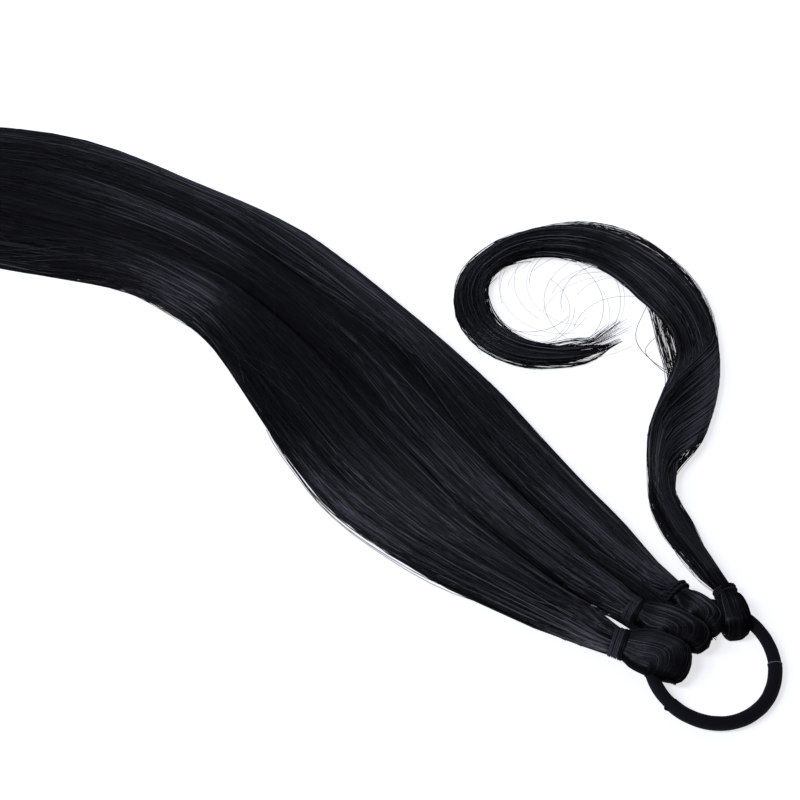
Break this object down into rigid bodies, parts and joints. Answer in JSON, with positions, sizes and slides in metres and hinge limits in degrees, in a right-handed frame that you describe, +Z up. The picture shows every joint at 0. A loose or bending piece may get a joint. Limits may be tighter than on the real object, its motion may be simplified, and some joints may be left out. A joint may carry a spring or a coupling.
{
  "type": "ponytail hairpiece",
  "caption": "Long straight black ponytail hairpiece in thick hanks looped over a fabric-covered elastic ring, with a curled wrap lock for winding round its base.",
  "frame": {"origin": "middle of the footprint, on the surface the hairpiece lies on", "axes": "+X from the tail's tips towards the elastic ring, +Y towards the side of the curled wrap lock, +Z up from the surface"},
  "size_m": [0.5124, 0.1938, 0.017],
  "materials": {
    "hair": "smooth straight fibres with a soft streaked sheen",
    "elastic_fabric": "matte fine knit",
    "binding_thread": "satin wound thread",
    "binding_rope": "satin twisted cord"
  },
  "bodies": {
    "root": {"elastic_ring": "elastic_fabric", "hank_front": "hair", "hank_middle": "hair", "hank_back": "hair", "binding_front": "binding_thread", "binding_middle": "binding_thread", "binding_back": "binding_rope", "wrap_lock": "hair", "wrap_binding": "binding_rope"}
  },
  "joints": []
}
